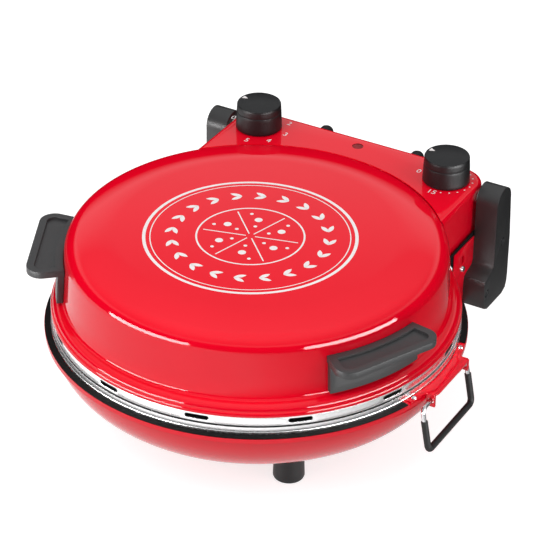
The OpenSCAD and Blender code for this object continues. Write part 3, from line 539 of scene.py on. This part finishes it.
def hinge_side():
    """A near-black strip on each bracket's upper edge, painted shade for the gap under the lid, and a red
    skirt on the lid in front of it.
    """
    hinge = (HINGE_Y, HINGE_Z)
    strip = [polar(hinge, -STRIP_R, a) for a in STRIP_ANGLES]
    strip += [(STRIP_BACK, STRIP_HIGH), (STRIP_BACK, STRIP_LOW), (STRIP_FRONT, STRIP_LOW)]
    # Painted shade: a near-black sheet that stands for the shade in the gap between lid and bracket
    side_plates("bracket_painted_shade", strip, STRIP_X, STRIP_T, "base", MATERIALS["seal"])
    side_plates("lid_skirt", SKIRT, SKIRT_X, SKIRT_T, "lid", MATERIALS["red_paint"])


# ---------------------------------------------------------------- studio

def make_world():
    """White for the camera. Reflections see a bright ceiling over a dark horizon."""
    world = bpy.data.worlds.new("studio")
    scene.world = world
    world.use_nodes = True
    tree = world.node_tree
    tree.nodes.clear()
    out = tree.nodes.new("ShaderNodeOutputWorld")
    seen, lit = tree.nodes.new("ShaderNodeBackground"), tree.nodes.new("ShaderNodeBackground")
    for background in (seen, lit):
        background.inputs["Color"].default_value = (1, 1, 1, 1)
    seen.inputs["Strength"].default_value = 1.0
    path = tree.nodes.new("ShaderNodeLightPath")
    where = tree.nodes.new("ShaderNodeTexCoord")
    split = tree.nodes.new("ShaderNodeSeparateXYZ")
    tree.links.new(where.outputs["Generated"], split.inputs[0])
    ramp = tree.nodes.new("ShaderNodeValToRGB")
    tree.links.new(split.outputs["Z"], ramp.inputs["Fac"])
    fill_ramp(ramp, [(math.sin(math.radians(a)), (v, v, v)) for a, v in CEILING])
    glossy = math_node(tree, "MULTIPLY", path.outputs["Is Glossy Ray"], ramp.outputs["Color"])
    direct = math_node(tree, "MAXIMUM", path.outputs["Is Camera Ray"], path.outputs["Is Transmission Ray"])
    white = math_node(tree, "MAXIMUM", direct, glossy)
    diffuse = math_node(tree, "SUBTRACT", 1.0, path.outputs["Is Glossy Ray"])
    tree.links.new(math_node(tree, "MULTIPLY", diffuse, WORLD), lit.inputs["Strength"])
    mix = tree.nodes.new("ShaderNodeMixShader")
    tree.links.new(white, mix.inputs["Fac"])
    tree.links.new(lit.outputs[0], mix.inputs[1])
    tree.links.new(seen.outputs[0], mix.inputs[2])
    tree.links.new(mix.outputs[0], out.inputs["Surface"])


def floor_material():
    """Near white for the camera. Reflections see it bright near the object and dark farther out."""
    g = Graph("floor")
    g.set(Roughness=0.9, Specular_IOR_Level=0.1, Base_Color=(FLOOR, FLOOR, FLOOR, 1))
    path = g.node("ShaderNodeLightPath")
    place = g.node("ShaderNodeTexCoord")
    shift = g.node("ShaderNodeVectorMath")
    shift.inputs[1].default_value = GLOW_SHIFT
    g.link(place.outputs["Object"], shift.inputs[0])
    length = g.node("ShaderNodeVectorMath")
    length.operation = "LENGTH"
    g.link(shift.outputs[0], length.inputs[0])
    near = g.node("ShaderNodeMapRange")
    for name, value in (("From Min", GLOW_NEAR), ("From Max", GLOW_FAR), ("To Min", 1.0), ("To Max", 0.0)):
        near.inputs[name].default_value = value
    g.link(length.outputs["Value"], near.inputs["Value"])
    shine = math_node(g.tree, "MULTIPLY", path.outputs["Is Glossy Ray"], near.outputs["Result"])
    white = math_node(g.tree, "MAXIMUM", path.outputs["Is Camera Ray"], shine)
    emit = g.node("ShaderNodeEmission")
    g.link(math_node(g.tree, "MULTIPLY", white, GLOW), emit.inputs["Strength"])
    add = g.node("ShaderNodeAddShader")
    g.link(g.bsdf.outputs[0], add.inputs[0])
    g.link(emit.outputs[0], add.inputs[1])
    black = g.node("ShaderNodeBsdfDiffuse")
    black.inputs["Color"].default_value = (FAR_FLOOR, FAR_FLOOR, FAR_FLOOR, 1)
    far = math_node(g.tree, "SUBTRACT", path.outputs["Is Glossy Ray"], shine)
    mix = g.node("ShaderNodeMixShader")
    g.link(far, mix.inputs["Fac"])
    g.link(add.outputs[0], mix.inputs[1])
    g.link(black.outputs[0], mix.inputs[2])
    g.link(mix.outputs[0], g.tree.nodes["Material Output"].inputs["Surface"])
    return g.mat


def make_floor():
    """A round floor that isn't part of the object."""
    bm = bmesh.new()
    corners = [polar((0, 0), FLOOR_R, 360 * i / FLOOR_STEPS) for i in range(FLOOR_STEPS)]
    bm.faces.new([bm.verts.new((x, y, 0)) for x, y in corners])
    add_mesh("floor", bm, floor_material())


def area_light(name, azimuth, elevation, distance, size, radiance, shine_only):
    """A rectangular light, at an azimuth and an elevation as seen from the object."""
    a, e = math.radians(azimuth), math.radians(elevation)
    aim = Vector(AIM)
    place = aim + distance * Vector((math.cos(e) * math.cos(a), math.cos(e) * math.sin(a), math.sin(e)))
    data = bpy.data.lights.new(name, "AREA")
    data.shape = "RECTANGLE"
    data.size, data.size_y = size
    data.energy = radiance * math.pi * size[0] * size[1]
    light = bpy.data.objects.new(name, data)
    light.location = place
    light.rotation_mode = "QUATERNION"
    light.rotation_quaternion = (aim - place).to_track_quat("-Z", "Y")
    light.visible_diffuse = not shine_only
    light.visible_glossy = shine_only
    scene.collection.objects.link(light)


dress_nodes()
make_camera()
lid_print()
dial_marks()
hinge_side()
make_world()
make_floor()
for values in LIGHTS:
    area_light(*values)
scene.view_settings.view_transform = "Standard"
